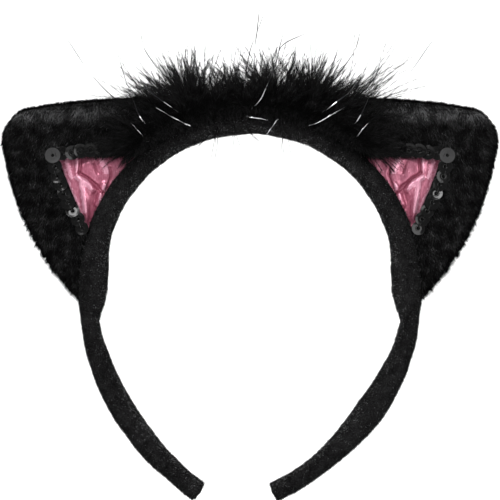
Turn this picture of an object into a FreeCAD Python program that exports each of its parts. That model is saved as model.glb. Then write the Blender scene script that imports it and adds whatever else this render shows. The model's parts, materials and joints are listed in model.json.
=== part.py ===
"""Cat-ear costume headband.

A springy plastic strip in a wadded velour sleeve carries two plush ears with
recessed satin linings and sequin edging, and a feather-down (marabou) trim
with tinsel along the crown.

Frame: origin at the centre of the crown arc, +X to the viewer's right, +Z up,
and the front of the headband faces -Y.  Lengths are millimetres, angles degrees.
"""
import FreeCAD, Part
import math
import os
import Sketcher

Vector = FreeCAD.Vector

DIMENSIONS = {
    # crown arc and the flexible strip in the band
    "crown_radius": 61.0,
    "core_width": 8.0,
    "core_depth": 1.8,
    "core_gap": 0.1,
    # velour sleeve and the wadding in it
    "sleeve_width": 12.0,
    "sleeve_depth": 8.0,
    "sleeve_corner": 2.5,
    "sleeve_wall": 0.8,
    "padding_gap": 0.1,
    # where each side bends away from the crown
    "flex_angle": 68.0,
    "knuckle_radius": 3.9,
    "knuckle_gap": 0.4,
    "cutter_reach": 9.0,
    "crown_overrun": 5.0,
    # legs: one arc each below the crown's centre line
    "left_leg_radius": 96.0,
    "left_leg_sweep": 56.0,
    "right_leg_radius": 86.5,
    "right_leg_sweep": 67.0,
    "axis_reach": 20.0,
    # ear outline, right-hand ear
    "ear_base_radius": 68.0,
    "ear_base_top": 60.0,
    "ear_base_bottom": -4.0,
    "ear_inner_x": 36.0,
    "ear_inner_z": 69.5,
    "ear_top_x": 85.5,
    "ear_top_z": 65.8,
    "ear_tip_x": 93.5,
    "ear_tip_z": 56.0,
    "ear_top_bow": 280.0,
    "ear_tip_bow": 14.0,
    "ear_side_bow": 107.0,
    # ear layers, front to back
    "ear_front": 3.5,
    "border_depth": 2.6,
    "lining_depth": 0.4,
    "foam_depth": 3.0,
    "plush_depth": 1.5,
    "foam_inset": 1.7,
    # window in the front border
    "window_corner_x": 71.4,
    "window_corner_z": 47.5,
    "window_top_x": 45.9,
    "window_top_z": 48.0,
    "window_foot_x": 61.2,
    "window_foot_z": 20.5,
    "window_round": 2.0,
    "window_round_shift": 0.8,
    # satin lining behind the window
    "lining_corner_x": 79.0,
    "lining_corner_z": 54.0,
    "lining_base_radius": 69.8,
    "lining_top": 51.0,
    "lining_foot": 12.0,
    # sequin chain round the window
    "sequin_radius": 2.6,
    "sequin_hole": 0.5,
    "sequin_depth": 0.15,
    "sequin_lift": 0.95,
    "sequin_tilt": 12.0,
    "sequin_pitch": 3.7,
    "chain_foot_x": 65.8,
    "chain_foot_z": 25.3,
    "chain_corner_x": 75.0,
    "chain_corner_z": 49.3,
    "chain_end_x": 49.0,
    "chain_end_z": 51.8,
    # threads
    "thread_radius": 0.15,
    "chain_thread_radius": 0.135,
    "thread_gap": 0.03,
    "thread_sink": 0.195,
    "stitch_length": 2.4,
    "stitch_pitch": 4.0,
    "seam_crown_end": 3.0,
    "seam_flex_end": 7.0,
    "seam_tip_end": 4.0,
    # strip of ear fabric sewn down on the band
    "strip_depth": 0.6,
    "strip_half_width": 3.5,
    "strip_gap": 0.05,
    "tack_pitch": 6.0,
    "tack_end": 3.0,
    "tack_row": 2.1,
    # marabou trim on the crown
    "cord_radius": 0.75,
    "cord_orbit": 66.3,
    "cord_span": 21.5,
    "channel_gap": 0.2,
    "plume_span": 19.0,
    "plume_floor": 65.4,
    "plume_shoulder": 74.0,
    "plume_foot_half": 9.0,
    "plume_half_width": 13.0,
    "plume_side_bow": 11.0,
    "plume_top_bow": 13.2,
    "tie_angle": 20.4,
    "tie_spread": 0.4,
    # tinsel strands in the trim
    "tinsel_radius": 0.2,
    "tinsel_start": 67.4,
}

# One tinsel strand each: angle of its root on the crown arc from the vertical,
# its tip (x, y, z), and how far its middle bows sideways.
TINSEL = (
    (-15.0, (-47.0, -6.0, 92.0), 3.0),
    (-12.0, (-33.0, 4.0, 96.0), -3.0),
    (-8.5, (-22.0, -7.0, 99.0), 2.5),
    (-4.0, (-9.0, -5.0, 101.0), -2.0),
    (-0.5, (2.6, -6.0, 107.0), -3.0),
    (2.0, (7.0, 5.0, 103.0), 3.5),
    (6.0, (14.0, -8.0, 97.0), -3.0),
    (9.0, (24.0, 3.0, 98.0), 2.5),
    (13.0, (41.0, -7.0, 95.0), -4.0),
    (15.5, (36.0, 6.0, 92.0), 2.0),
)

SIDES = {"left": -1, "right": 1}

doc = FreeCAD.newDocument("cat_ear_headband")
sheet = doc.addObject("Spreadsheet::Sheet", "dims")
for row, (alias, number) in enumerate(DIMENSIONS.items(), start=1):
    sheet.set(f"A{row}", alias)
    sheet.set(f"B{row}", str(number))
    sheet.setAlias(f"B{row}", alias)
doc.recompute()

subparts = []


def size(alias):
    """Current value of one spreadsheet dimension."""
    return float(sheet.get(alias))


def number(expression):
    """Value of an expression in the spreadsheet's terms."""
    return float(sheet.evalExpression(expression))


def keep(item, label):
    """Name a finished sub-part and list it for export."""
    item.Label = label
    subparts.append(item)
    return item


def new_body(label):
    """Empty body for one sub-part."""
    return keep(doc.addObject("PartDesign::Body", label), label)


def origin_plane(body, role):
    """One of the body's own origin planes."""
    return next(part for part in body.Origin.OriginFeatures if part.Role == role)


def new_sketch(body, name, role):
    """Sketch on one of the body's origin planes."""
    sketch = body.newObject("Sketcher::SketchObject", name)
    sketch.AttachmentSupport = [(origin_plane(body, role), "")]
    sketch.MapMode = "FlatFace"
    return sketch


def pin(sketch, edge, point, spot):
    """Hold one sketch point at a place given by two expressions."""
    for kind, expression in zip(("DistanceX", "DistanceY"), spot):
        place = Sketcher.Constraint(kind, -1, 1, edge, point, number(expression))
        index = sketch.addConstraint(place)
        sketch.setExpression(f"Constraints[{index}]", expression)


def outline(body, name, role, corners, bows=None):
    """Closed sketch through corners; bows maps an edge to (radius, turn).

    Turn is 1 where the edge curves anticlockwise and -1 where it curves clockwise.
    """
    sketch = new_sketch(body, name, role)
    spots = [Vector(number(x), number(y), 0) for x, y in corners]
    bows = bows or {}
    ends = []
    for index, start in enumerate(spots):
        finish = spots[(index + 1) % len(spots)]
        if index not in bows:
            edge = sketch.addGeometry(Part.LineSegment(start, finish))
            ends.append((edge, 1, 2))
            continue
        radius, turn = bows[index]
        chord = finish - start
        sagitta = number(radius) - math.sqrt(number(radius) ** 2 - chord.Length ** 2 / 4)
        outward = Vector(chord.y, -chord.x, 0).normalize() * turn
        middle = (start + finish) * 0.5 + outward * sagitta
        edge = sketch.addGeometry(Part.Arc(start, middle, finish))
        ends.append((edge, 1, 2) if turn > 0 else (edge, 2, 1))
    for index, (edge, first, _) in enumerate(ends):
        before, _, last = ends[index - 1]
        sketch.addConstraint(Sketcher.Constraint("Coincident", edge, first, before, last))
        pin(sketch, edge, first, corners[index])
        if index in bows:
            radius = bows[index][0]
            bend = sketch.addConstraint(Sketcher.Constraint("Radius", edge, number(radius)))
            sketch.setExpression(f"Constraints[{bend}]", radius)
    return sketch


def disc(body, name, role, centre, radius):
    """Sketch of one circle."""
    sketch = new_sketch(body, name, role)
    middle = Vector(number(centre[0]), number(centre[1]), 0)
    edge = sketch.addGeometry(Part.Circle(middle, Vector(0, 0, 1), number(radius)))
    pin(sketch, edge, 3, centre)
    bend = sketch.addConstraint(Sketcher.Constraint("Radius", edge, number(radius)))
    sketch.setExpression(f"Constraints[{bend}]", radius)
    return sketch


def rounded_box(body, name, role, centre, spans, corner=None):
    """Sketch of a rectangle about a centre, with round corners where a radius is given."""
    x_half, y_half = (f"({span})/2" for span in spans)

    def spot(x_turn, y_turn, x_cut, y_cut):
        return (
            f"({centre[0]}) + ({x_turn})*({x_half} - ({x_cut}))",
            f"({centre[1]}) + ({y_turn})*({y_half} - ({y_cut}))",
        )

    if corner is None:
        corners = [spot(x, y, "0", "0") for x, y in ((-1, -1), (1, -1), (1, 1), (-1, 1))]
        return outline(body, name, role, corners)
    corners = [
        spot(-1, -1, corner, "0"),
        spot(1, -1, corner, "0"),
        spot(1, -1, "0", corner),
        spot(1, 1, "0", corner),
        spot(1, 1, corner, "0"),
        spot(-1, 1, corner, "0"),
        spot(-1, 1, "0", corner),
        spot(-1, -1, "0", corner),
    ]
    return outline(body, name, role, corners, {edge: (corner, 1) for edge in (1, 3, 5, 7)})


def feature(body, kind, name, profile, bound=None, **values):
    """Profile-based feature; bound maps its properties to expressions."""
    item = body.newObject(f"PartDesign::{kind}", name)
    item.Profile = profile
    for field, value in values.items():
        setattr(item, field, value)
    for field, expression in (bound or {}).items():
        item.setExpression(field, expression)
    return item


def checked_cut(body, before):
    """Recompute and make sure that the last cut took material away."""
    doc.recompute()
    if not body.Shape.Volume < before - 1e-6:
        raise RuntimeError(f"{body.Label}: {body.Tip.Name} cuts nothing")


# --- band ---------------------------------------------------------------------

CORE = (("dims.core_depth", "dims.core_width"), None)
SLOT = (("dims.core_depth + 2*dims.core_gap", "dims.core_width + 2*dims.core_gap"), None)
SLEEVE = (("dims.sleeve_depth", "dims.sleeve_width"), "dims.sleeve_corner")
LUMEN = (
    ("dims.sleeve_depth - 2*dims.sleeve_wall", "dims.sleeve_width - 2*dims.sleeve_wall"),
    "dims.sleeve_corner - dims.sleeve_wall",
)
WADDING = (
    (
        "dims.sleeve_depth - 2*(dims.sleeve_wall + dims.padding_gap)",
        "dims.sleeve_width - 2*(dims.sleeve_wall + dims.padding_gap)",
    ),
    "dims.sleeve_corner - dims.sleeve_wall",
)


def flex_spot(side, along="0", out="0"):
    """Place on the front plane near a flex line: along the band and outward."""
    return (
        f"{side}*((dims.crown_radius + {out})*cos(dims.flex_angle) + ({along})*sin(dims.flex_angle))",
        f"(dims.crown_radius + {out})*sin(dims.flex_angle) - ({along})*cos(dims.flex_angle)",
    )


def crown_piece(label, shape, hollow=None):
    """Crown stretch of the band, with a round knuckle at each flex line."""
    body = new_body(label)
    middle = ("0", "dims.crown_radius")
    spans, corner = shape
    profile = rounded_box(body, "Section", "YZ_Plane", middle, spans[::-1], corner)
    reach = "2*(90 - dims.flex_angle + dims.crown_overrun)"
    feature(body, "Revolution", "Crown", profile, ReferenceAxis=(profile, ["H_Axis"]),
            bound={"Angle": reach}, Midplane=True)
    doc.recompute()
    if hollow:
        before = body.Shape.Volume
        spans, corner = hollow
        lumen = rounded_box(body, "Lumen", "YZ_Plane", middle, spans[::-1], corner)
        feature(body, "Groove", "Hollow", lumen, ReferenceAxis=(lumen, ["H_Axis"]),
                bound={"Angle": reach}, Midplane=True)
        checked_cut(body, before)
    for name, side in SIDES.items():
        before = body.Shape.Volume
        corners = [
            flex_spot(side, out="dims.knuckle_radius"),
            flex_spot(side, out="-dims.knuckle_radius"),
            flex_spot(side, out="-dims.cutter_reach"),
            flex_spot(side, "dims.cutter_reach", "-dims.cutter_reach"),
            flex_spot(side, "dims.cutter_reach", "dims.cutter_reach"),
            flex_spot(side, out="dims.cutter_reach"),
        ]
        knuckle = half_round(body, f"Knuckle_{name}", corners, side)
        feature(body, "Pocket", f"Cut_{name}", knuckle, Type="ThroughAll", Midplane=True)
        checked_cut(body, before)
    return body


def half_round(body, name, corners, side):
    """Cutter outline whose first edge is a half circle that bulges into it."""
    sketch = new_sketch(body, name, "XZ_Plane")
    spots = [Vector(number(x), number(y), 0) for x, y in corners]
    top, foot = spots[:2]
    along = Vector(top.y - foot.y, foot.x - top.x, 0) * (0.5 * side)
    arc = sketch.addGeometry(Part.Arc(top, (top + foot) * 0.5 + along, foot))
    ends = [(arc, 2, 1) if side > 0 else (arc, 1, 2)]
    for start, finish in zip(spots[1:], spots[2:] + spots[:1]):
        ends.append((sketch.addGeometry(Part.LineSegment(start, finish)), 1, 2))
    for index, (edge, first, _) in enumerate(ends):
        before, _, last = ends[index - 1]
        sketch.addConstraint(Sketcher.Constraint("Coincident", edge, first, before, last))
        pin(sketch, edge, first, corners[index])
    return sketch


def side_piece(label, side, name, shape, hollow=None, end_gap="0", end_wall=None):
    """Side stretch of the band: crown arc down to the leg's tip, cupped at the flex line."""
    body = new_body(label)
    leg_radius = f"dims.{name}_leg_radius"
    middle = (f"{side}*dims.crown_radius", "0")
    hub = (f"{side}*(dims.crown_radius - {leg_radius})", "0")

    def stretch(title, kind, outline_shape, short):
        spans, corner = outline_shape
        profile = rounded_box(body, title, "XY_Plane", middle, spans, corner)
        axis = sketch_axis(profile, hub)
        upper = feature(body, kind, f"{title}_upper", profile,
                        bound={"Angle": "dims.flex_angle"}, ReferenceAxis=(profile, ["V_Axis"]))
        upper.Reversed = side > 0
        doc.recompute()
        sweep = f"dims.{name}_leg_sweep - ({short})/{leg_radius}*180/pi"
        leg = feature(body, kind, f"{title}_leg", profile, bound={"Angle": sweep},
                      ReferenceAxis=(profile, [axis]))
        leg.Reversed = side < 0
        doc.recompute()

    stretch("Section", "Revolution", shape, end_gap)
    if hollow:
        before = body.Shape.Volume
        stretch("Lumen", "Groove", hollow, end_wall or end_gap)
        checked_cut(body, before)
    before = body.Shape.Volume
    cup = disc(body, "Cup", "XZ_Plane", flex_spot(side), "dims.knuckle_radius + dims.knuckle_gap")
    feature(body, "Pocket", "Flex_cut", cup, Type="ThroughAll", Midplane=True)
    checked_cut(body, before)
    return body


def sketch_axis(sketch, hub):
    """Construction line through the hub, parallel to the sketch's second axis."""
    reach = Vector(0, size("axis_reach"), 0)
    centre = Vector(number(hub[0]), 0, 0)
    line = sketch.addGeometry(Part.LineSegment(centre - reach, centre + reach), True)
    pin(sketch, line, 1, (hub[0], "-dims.axis_reach"))
    pin(sketch, line, 2, (hub[0], "dims.axis_reach"))
    return "Axis0"


crown_piece("band_core_crown", CORE)
crown_piece("band_padding_crown", WADDING, SLOT)
crown_piece("band_sleeve_crown", SLEEVE, LUMEN)
for name, side in SIDES.items():
    inner_end = "dims.sleeve_wall + dims.padding_gap"
    side_piece(f"band_core_{name}", side, name, CORE, end_gap=inner_end)
    side_piece(f"band_padding_{name}", side, name, WADDING, SLOT, end_gap=inner_end)
    side_piece(f"band_sleeve_{name}", side, name, SLEEVE, LUMEN, end_wall="dims.sleeve_wall")


# --- ears ---------------------------------------------------------------------

def polar(side, radius, angle):
    """Expressions for a place at a radius and angle about the origin."""
    return (f"{side}*({radius})*cos({angle})", f"({radius})*sin({angle})")


def ear_outline(body, title, side):
    """Ear outline on the front plane: base arc, inner end, top, tip and outer side."""
    corners = [
        polar(side, "dims.ear_base_radius", "dims.ear_base_top"),
        (f"{side}*dims.ear_inner_x", "dims.ear_inner_z"),
        (f"{side}*dims.ear_top_x", "dims.ear_top_z"),
        (f"{side}*dims.ear_tip_x", "dims.ear_tip_z"),
        polar(side, "dims.ear_base_radius", "dims.ear_base_bottom"),
    ]
    bows = {
        1: ("dims.ear_top_bow", -side),
        2: ("dims.ear_tip_bow", -side),
        3: ("dims.ear_side_bow", -side),
        4: ("dims.ear_base_radius", side),
    }
    return outline(body, title, "XZ_Plane", corners, bows)


def set_back(sketch, depth):
    """Move a front-plane sketch to a place behind the plane; bodies pad towards the front."""
    sketch.setExpression("AttachmentOffset.Base.z", f"-({depth})")
    return sketch


LAYER_BACKS = {
    "border": "dims.border_depth - dims.ear_front",
    "lining": "dims.border_depth + dims.lining_depth - dims.ear_front",
    "foam": "dims.border_depth + dims.lining_depth + dims.foam_depth - dims.ear_front",
}
EAR_BACK = f"{LAYER_BACKS['foam']} + dims.plush_depth"


def ear_back_panel(label, side):
    """Plush back of the ear, a shallow pan whose rim wraps the foam's edge."""
    body = new_body(label)
    sketch = set_back(ear_outline(body, "Outline", side), EAR_BACK)
    pad = feature(body, "Pad", "Panel", sketch,
                  bound={"Length": "dims.lining_depth + dims.foam_depth + dims.plush_depth"})
    doc.recompute()
    full = body.Shape.Volume
    front = min(range(len(pad.Shape.Faces)), key=lambda i: pad.Shape.Faces[i].CenterOfMass.y)
    pan = body.newObject("PartDesign::Thickness", "Pan")
    pan.Base = (pad, [f"Face{front + 1}"])
    pan.Reversed = True
    pan.Join = "Intersection"
    pan.setExpression("Value", "dims.plush_depth")
    checked_cut(body, full)


def ear_foam(label, side):
    """Foam sheet inside the ear, a little smaller than its outline."""
    pattern = doc.addObject("PartDesign::Body", f"{label}_pattern")
    sketch = set_back(ear_outline(pattern, "Outline", side), LAYER_BACKS["foam"])
    inset = doc.addObject("Part::Offset2D", f"{label}_inset")
    inset.Source = sketch
    inset.setExpression("Value", "-dims.foam_inset")
    foam = doc.addObject("Part::Extrusion", label)
    foam.Base = inset
    foam.DirMode = "Custom"
    foam.Dir = Vector(0, -1, 0)
    foam.Solid = True
    foam.setExpression("LengthFwd", "dims.foam_depth")
    keep(foam, label)


def ear_lining(label, side):
    """Satin lining behind the window."""
    body = new_body(label)
    corners = [
        polar(side, "dims.lining_base_radius", "dims.lining_top"),
        (f"{side}*dims.lining_corner_x", "dims.lining_corner_z"),
        polar(side, "dims.lining_base_radius", "dims.lining_foot"),
    ]
    bows = {2: ("dims.lining_base_radius", side)}
    sketch = outline(body, "Outline", "XZ_Plane", corners, bows)
    set_back(sketch, LAYER_BACKS["lining"])
    feature(body, "Pad", "Sheet", sketch, bound={"Length": "dims.lining_depth"})


def ear_border(label, side):
    """Plush front of the ear, with the window that shows the lining."""
    body = new_body(label)
    sketch = set_back(ear_outline(body, "Outline", side), LAYER_BACKS["border"])
    feature(body, "Pad", "Panel", sketch, bound={"Length": "dims.border_depth"})
    doc.recompute()
    full = body.Shape.Volume
    corners = [
        (f"{side}*dims.window_foot_x", "dims.window_foot_z"),
        (f"{side}*(dims.window_corner_x - dims.window_round_shift)",
         "dims.window_corner_z - dims.window_round"),
        (f"{side}*(dims.window_corner_x - dims.window_round)", "dims.window_corner_z"),
        (f"{side}*dims.window_top_x", "dims.window_top_z"),
    ]
    window = outline(body, "Window", "XZ_Plane", corners, {1: ("dims.window_round", side)})
    feature(body, "Pocket", "Opening", window, Type="ThroughAll", Midplane=True)
    checked_cut(body, full)


def chain_spots(side):
    """Sequin places (x, z) with the chain's direction, from the base up and over the corner."""
    foot = Vector(side * size("chain_foot_x"), 0, size("chain_foot_z"))
    corner = Vector(side * size("chain_corner_x"), 0, size("chain_corner_z"))
    end = Vector(side * size("chain_end_x"), 0, size("chain_end_z"))
    spots = []
    for start, finish in ((foot, corner), (corner, end)):
        run = finish - start
        steps = round(run.Length / size("sequin_pitch"))
        along = Vector(run).normalize()
        first = 0 if start == foot else 1
        spots.extend((start + run * (step / steps), along) for step in range(first, steps + 1))
    return spots


def ear_sequins(label, side):
    """Overlapping sequins, each tilted like a shingle along the chain."""
    tilt = math.radians(size("sequin_tilt"))
    depth = size("sequin_depth")
    discs = []
    for spot, along in chain_spots(side):
        facing = Vector(0, -math.cos(tilt), 0) + along * math.sin(tilt)
        rear = spot - Vector(0, size("ear_front") + size("sequin_lift"), 0) - facing * (depth / 2)
        plate = Part.makeCylinder(size("sequin_radius"), depth, rear, facing)
        hole = Part.makeCylinder(size("sequin_hole"), 3 * depth, rear - facing * depth, facing)
        discs.append(plate.cut(hole))
    group = keep(doc.addObject("Part::Feature", label), label)
    group.Shape = Part.makeCompound(discs)


def ear_sequin_thread(label, side):
    """Thread under the sequin chain, with one stitch up through each sequin."""
    radius = size("chain_thread_radius")
    level = Vector(0, -size("ear_front") - radius - size("thread_gap"), 0)
    height = size("sequin_lift") + 2 * radius
    spots = [spot + level for spot, _ in chain_spots(side)]
    pieces = [
        Part.makeCylinder(radius, height, spot + Vector(0, radius, 0), Vector(0, -1, 0))
        for spot in spots
    ]
    clearance = radius + size("thread_gap")
    for start, finish in zip(spots, spots[1:]):
        run = (finish - start).Length - 2 * clearance
        along = (finish - start).normalize()
        pieces.append(Part.makeCylinder(radius, run, start + along * clearance, along))
    thread = keep(doc.addObject("Part::Feature", label), label)
    thread.Shape = Part.makeCompound(pieces)


def ear_strip(label, side):
    """Strip of the ear's fabric sewn down on the band's outer face along the ear's base."""
    body = new_body(label)
    inner = "(dims.crown_radius + dims.sleeve_depth/2 + dims.strip_gap)"
    spans = ("dims.strip_depth", "2*dims.strip_half_width")
    centre = (f"{side}*({inner} + dims.strip_depth/2)", "0")
    sketch = rounded_box(body, "Section", "XY_Plane", centre, spans)
    strip = feature(body, "Revolution", "Strip", sketch, bound={"Angle": "dims.ear_base_top"},
                    ReferenceAxis=(sketch, ["V_Axis"]))
    strip.Reversed = side > 0


def band_place(side, name, distance, out, depth):
    """Place and direction along a side: distance below the crown arc's end is on the leg."""
    radius = size("crown_radius")
    angle = distance / radius
    if distance >= 0:
        middle = Vector(0, 0, 0)
    else:
        radius = size(f"{name}_leg_radius")
        angle = distance / radius
        middle = Vector(side * (size("crown_radius") - radius), 0, 0)
    outward = Vector(side * math.cos(angle), 0, math.sin(angle))
    along = Vector(-side * math.sin(angle), 0, math.cos(angle))
    return middle + outward * (radius + out) + Vector(0, depth, 0), along


def stitch_row(label, places):
    """Short straight stitches centred on the given places."""
    length = size("stitch_length")
    radius = size("thread_radius")
    stitches = [
        Part.makeCylinder(radius, length, spot - along * (length / 2), along)
        for spot, along in places
    ]
    row = keep(doc.addObject("Part::Feature", label), label)
    row.Shape = Part.makeCompound(stitches)


def seam_offsets():
    """Offset of the sleeve's seam from the band's middle: outward, and to the rear."""
    inset = size("sleeve_corner") * (1 - math.sqrt(0.5)) - size("thread_sink")
    return inset - size("sleeve_depth") / 2, size("sleeve_width") / 2 - inset


def spaced(start, finish, pitch):
    """Evenly spaced numbers, both ends included."""
    steps = max(1, round(abs(finish - start) / pitch))
    return [start + (finish - start) * step / steps for step in range(steps + 1)]


def crown_seam():
    """Closing seam along the crown sleeve's rear inner edge."""
    out, depth = seam_offsets()
    half = math.radians(90 - size("flex_angle")) * size("crown_radius") - size("seam_crown_end")
    places = []
    for distance in spaced(-half, half, size("stitch_pitch")):
        angle = distance / size("crown_radius")
        outward = Vector(math.sin(angle), 0, math.cos(angle))
        along = Vector(math.cos(angle), 0, -math.sin(angle))
        places.append((outward * (size("crown_radius") + out) + Vector(0, depth, 0), along))
    stitch_row("sleeve_seam_stitches_crown", places)


def side_seam(name, side):
    """Closing seam along a side sleeve's rear inner edge."""
    out, depth = seam_offsets()
    top = math.radians(size("flex_angle")) * size("crown_radius") - size("seam_flex_end")
    leg = math.radians(size(f"{name}_leg_sweep")) * size(f"{name}_leg_radius")
    foot = size("seam_tip_end") - leg
    places = [
        band_place(side, name, distance, out, depth)
        for distance in spaced(foot, top, size("stitch_pitch"))
        if abs(distance) > size("stitch_length") / 2
    ]
    stitch_row(f"sleeve_seam_stitches_{name}", places)


def tack_stitches(label, name, side):
    """Stitches that hold the ear's strip down on the sleeve, in two rows."""
    out = size("sleeve_depth") / 2 + size("strip_gap") + size("strip_depth")
    out += size("thread_radius") + size("thread_gap")
    foot = size("tack_end")
    top = math.radians(size("ear_base_top")) * size("crown_radius") - foot
    places = []
    for depth in (-size("tack_row"), size("tack_row")):
        for distance in spaced(foot, top, size("tack_pitch")):
            places.append(band_place(side, name, distance, out, depth))
    stitch_row(label, places)


for name, side in SIDES.items():
    ear_back_panel(f"{name}_ear_back_panel", side)
    ear_foam(f"{name}_ear_foam_insert", side)
    ear_lining(f"{name}_ear_satin_lining", side)
    ear_border(f"{name}_ear_front_border", side)
    ear_sequins(f"{name}_ear_sequins", side)
    ear_sequin_thread(f"{name}_ear_sequin_thread", side)
    ear_strip(f"{name}_ear_base_strip", side)
    tack_stitches(f"{name}_ear_tack_stitches", name, side)
    side_seam(name, side)
crown_seam()


# --- marabou trim ---------------------------------------------------------------

def marabou_cord():
    """Cord that holds the down, bent along the crown."""
    body = new_body("marabou_cord")
    sketch = disc(body, "Section", "YZ_Plane", ("0", "dims.cord_orbit"), "dims.cord_radius")
    feature(body, "Revolution", "Cord", sketch, bound={"Angle": "2*dims.cord_span"},
            ReferenceAxis=(sketch, ["H_Axis"]), Midplane=True)


def marabou_plumes():
    """Soft body of the down, an arch over the crown with a channel for its cord."""
    body = new_body("marabou_plumes")
    corners = [
        ("-dims.plume_foot_half", "dims.plume_floor"),
        ("dims.plume_foot_half", "dims.plume_floor"),
        ("dims.plume_half_width", "dims.plume_shoulder"),
        ("-dims.plume_half_width", "dims.plume_shoulder"),
    ]
    bows = {1: ("dims.plume_side_bow", 1), 2: ("dims.plume_top_bow", 1),
            3: ("dims.plume_side_bow", 1)}
    sketch = outline(body, "Section", "YZ_Plane", corners, bows)
    sweep = "2*dims.plume_span"
    feature(body, "Revolution", "Plumes", sketch, bound={"Angle": sweep},
            ReferenceAxis=(sketch, ["H_Axis"]), Midplane=True)
    doc.recompute()
    full = body.Shape.Volume
    radius = "dims.cord_radius + dims.channel_gap"
    channel = disc(body, "Channel", "YZ_Plane", ("0", "dims.cord_orbit"), radius)
    feature(body, "Groove", "Cord_channel", channel, bound={"Angle": sweep},
            ReferenceAxis=(channel, ["H_Axis"]), Midplane=True)
    checked_cut(body, full)


def marabou_ties():
    """Thread loops that tie the cord's ends down, two at each end."""
    loops = []
    thread = size("thread_radius")
    for turn in (-1, 1):
        for step in (-size("tie_spread"), size("tie_spread")):
            angle = math.radians(turn * size("tie_angle") + step)
            outward = Vector(math.sin(angle), 0, math.cos(angle))
            along = Vector(math.cos(angle), 0, -math.sin(angle))
            ring = size("cord_radius") + thread + size("thread_gap")
            loops.append(Part.makeTorus(ring, thread, outward * size("cord_orbit"), along))
    ties = keep(doc.addObject("Part::Feature", "marabou_tie_stitches"), "marabou_tie_stitches")
    ties.Shape = Part.makeCompound(loops)


def tinsel_strands():
    """Thin tinsel strands rooted at the cord, each bowed to one side."""
    strands = []
    for root_angle, tip, bow in TINSEL:
        angle = math.radians(root_angle)
        root = Vector(math.sin(angle), 0, math.cos(angle)) * size("tinsel_start")
        tip = Vector(*tip)
        middle = (root + tip) * 0.5 + Vector(bow, 0, 0)
        path = Part.Wire([Part.Arc(root, middle, tip).toShape()])
        tangent = path.Edges[0].tangentAt(path.Edges[0].FirstParameter)
        ring = Part.Wire([Part.Circle(root, tangent, size("tinsel_radius")).toShape()])
        strands.append(path.makePipeShell([ring], True, False))
    group = keep(doc.addObject("Part::Feature", "tinsel_strands"), "tinsel_strands")
    group.Shape = Part.makeCompound(strands)


marabou_cord()
marabou_plumes()
marabou_ties()
tinsel_strands()


def save():
    """Check every object, then write one STEP file per sub-part."""
    doc.recompute()
    for item in doc.Objects:
        if {"Invalid", "Error"} & set(item.State):
            raise RuntimeError(f"{item.Label} failed: {item.State}")
    os.makedirs("parts", exist_ok=True)
    for item in subparts:
        if item.Shape.isNull() or not item.Shape.isValid():
            raise RuntimeError(f"{item.Label} has no valid shape")
        item.Shape.exportStep(f"parts/{item.Label}.step")
        print(f"{item.Label}: {len(item.Shape.Solids)} solid(s), {item.Shape.Volume:.1f} mm3")


save()
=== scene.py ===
"""Cat-ear headband: velour, plush, satin, sequins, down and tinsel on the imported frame.

Lengths in this script are millimetres in the row frame and become metres when a mesh is made.
Every ear function works on the right-hand ear and mirrors its result for the left one.
"""
import json
import math
import bpy
import numpy as np
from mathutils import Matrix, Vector, noise
from mathutils.geometry import delaunay_2d_cdt


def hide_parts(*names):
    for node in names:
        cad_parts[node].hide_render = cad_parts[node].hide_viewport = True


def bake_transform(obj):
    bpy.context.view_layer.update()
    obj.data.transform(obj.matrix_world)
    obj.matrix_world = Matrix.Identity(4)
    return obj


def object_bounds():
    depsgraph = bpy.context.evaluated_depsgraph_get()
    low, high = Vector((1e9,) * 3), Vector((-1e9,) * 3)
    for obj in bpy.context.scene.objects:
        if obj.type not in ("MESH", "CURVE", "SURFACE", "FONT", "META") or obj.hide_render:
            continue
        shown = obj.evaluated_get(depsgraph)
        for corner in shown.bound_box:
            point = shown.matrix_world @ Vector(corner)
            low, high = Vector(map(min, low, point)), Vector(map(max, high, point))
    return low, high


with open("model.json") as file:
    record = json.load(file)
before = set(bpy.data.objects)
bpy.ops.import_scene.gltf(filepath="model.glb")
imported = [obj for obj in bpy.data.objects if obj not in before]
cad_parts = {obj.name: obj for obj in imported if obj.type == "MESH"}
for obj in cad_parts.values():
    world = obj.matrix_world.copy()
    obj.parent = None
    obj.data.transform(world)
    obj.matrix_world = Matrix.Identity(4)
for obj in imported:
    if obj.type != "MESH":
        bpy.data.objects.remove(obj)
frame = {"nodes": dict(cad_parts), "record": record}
cad_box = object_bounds()
record = frame["record"]

MM = 0.001
SIDES = {"left": -1, "right": 1}
rng = np.random.default_rng(20)

JOINTS = {joint["name"]: joint for joint in record["behaviour"]["joints"]}
FLEX = np.array(JOINTS["right_side_flex"]["pos_m"]) / MM
CROWN = float(np.hypot(FLEX[0], FLEX[2]))
LEGS = {"left": (96.0, math.radians(56)), "right": (86.5, math.radians(67))}
QUARTER = CROWN * math.pi / 2


# --- camera, light and floor ------------------------------------------------------

def aim(item, target):
    """Turn a camera or light to face a point."""
    direction = Vector(target) - item.location
    item.rotation_euler = direction.to_track_quat("-Z", "Y").to_euler()


def make_camera():
    """Level camera straight in front, framing the object as tightly as its packed size."""
    camera = bpy.data.objects.new("camera", bpy.data.cameras.new("camera"))
    bpy.context.collection.objects.link(camera)
    distance, height = 0.9, 0.0122
    field, sensor = 0.190, 36.0
    camera.location = (0.0, -distance, height)
    camera.data.sensor_width = sensor
    camera.data.lens = sensor * distance / field
    camera.data.clip_start = 0.05
    aim(camera, (0.0, 0.0, height))
    bpy.context.scene.camera = camera


def area_light(name, place, target, width, power):
    """Square soft light."""
    data = bpy.data.lights.new(name, "AREA")
    data.size = width
    data.energy = power
    light = bpy.data.objects.new(name, data)
    bpy.context.collection.objects.link(light)
    light.location = place
    aim(light, target)


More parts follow.
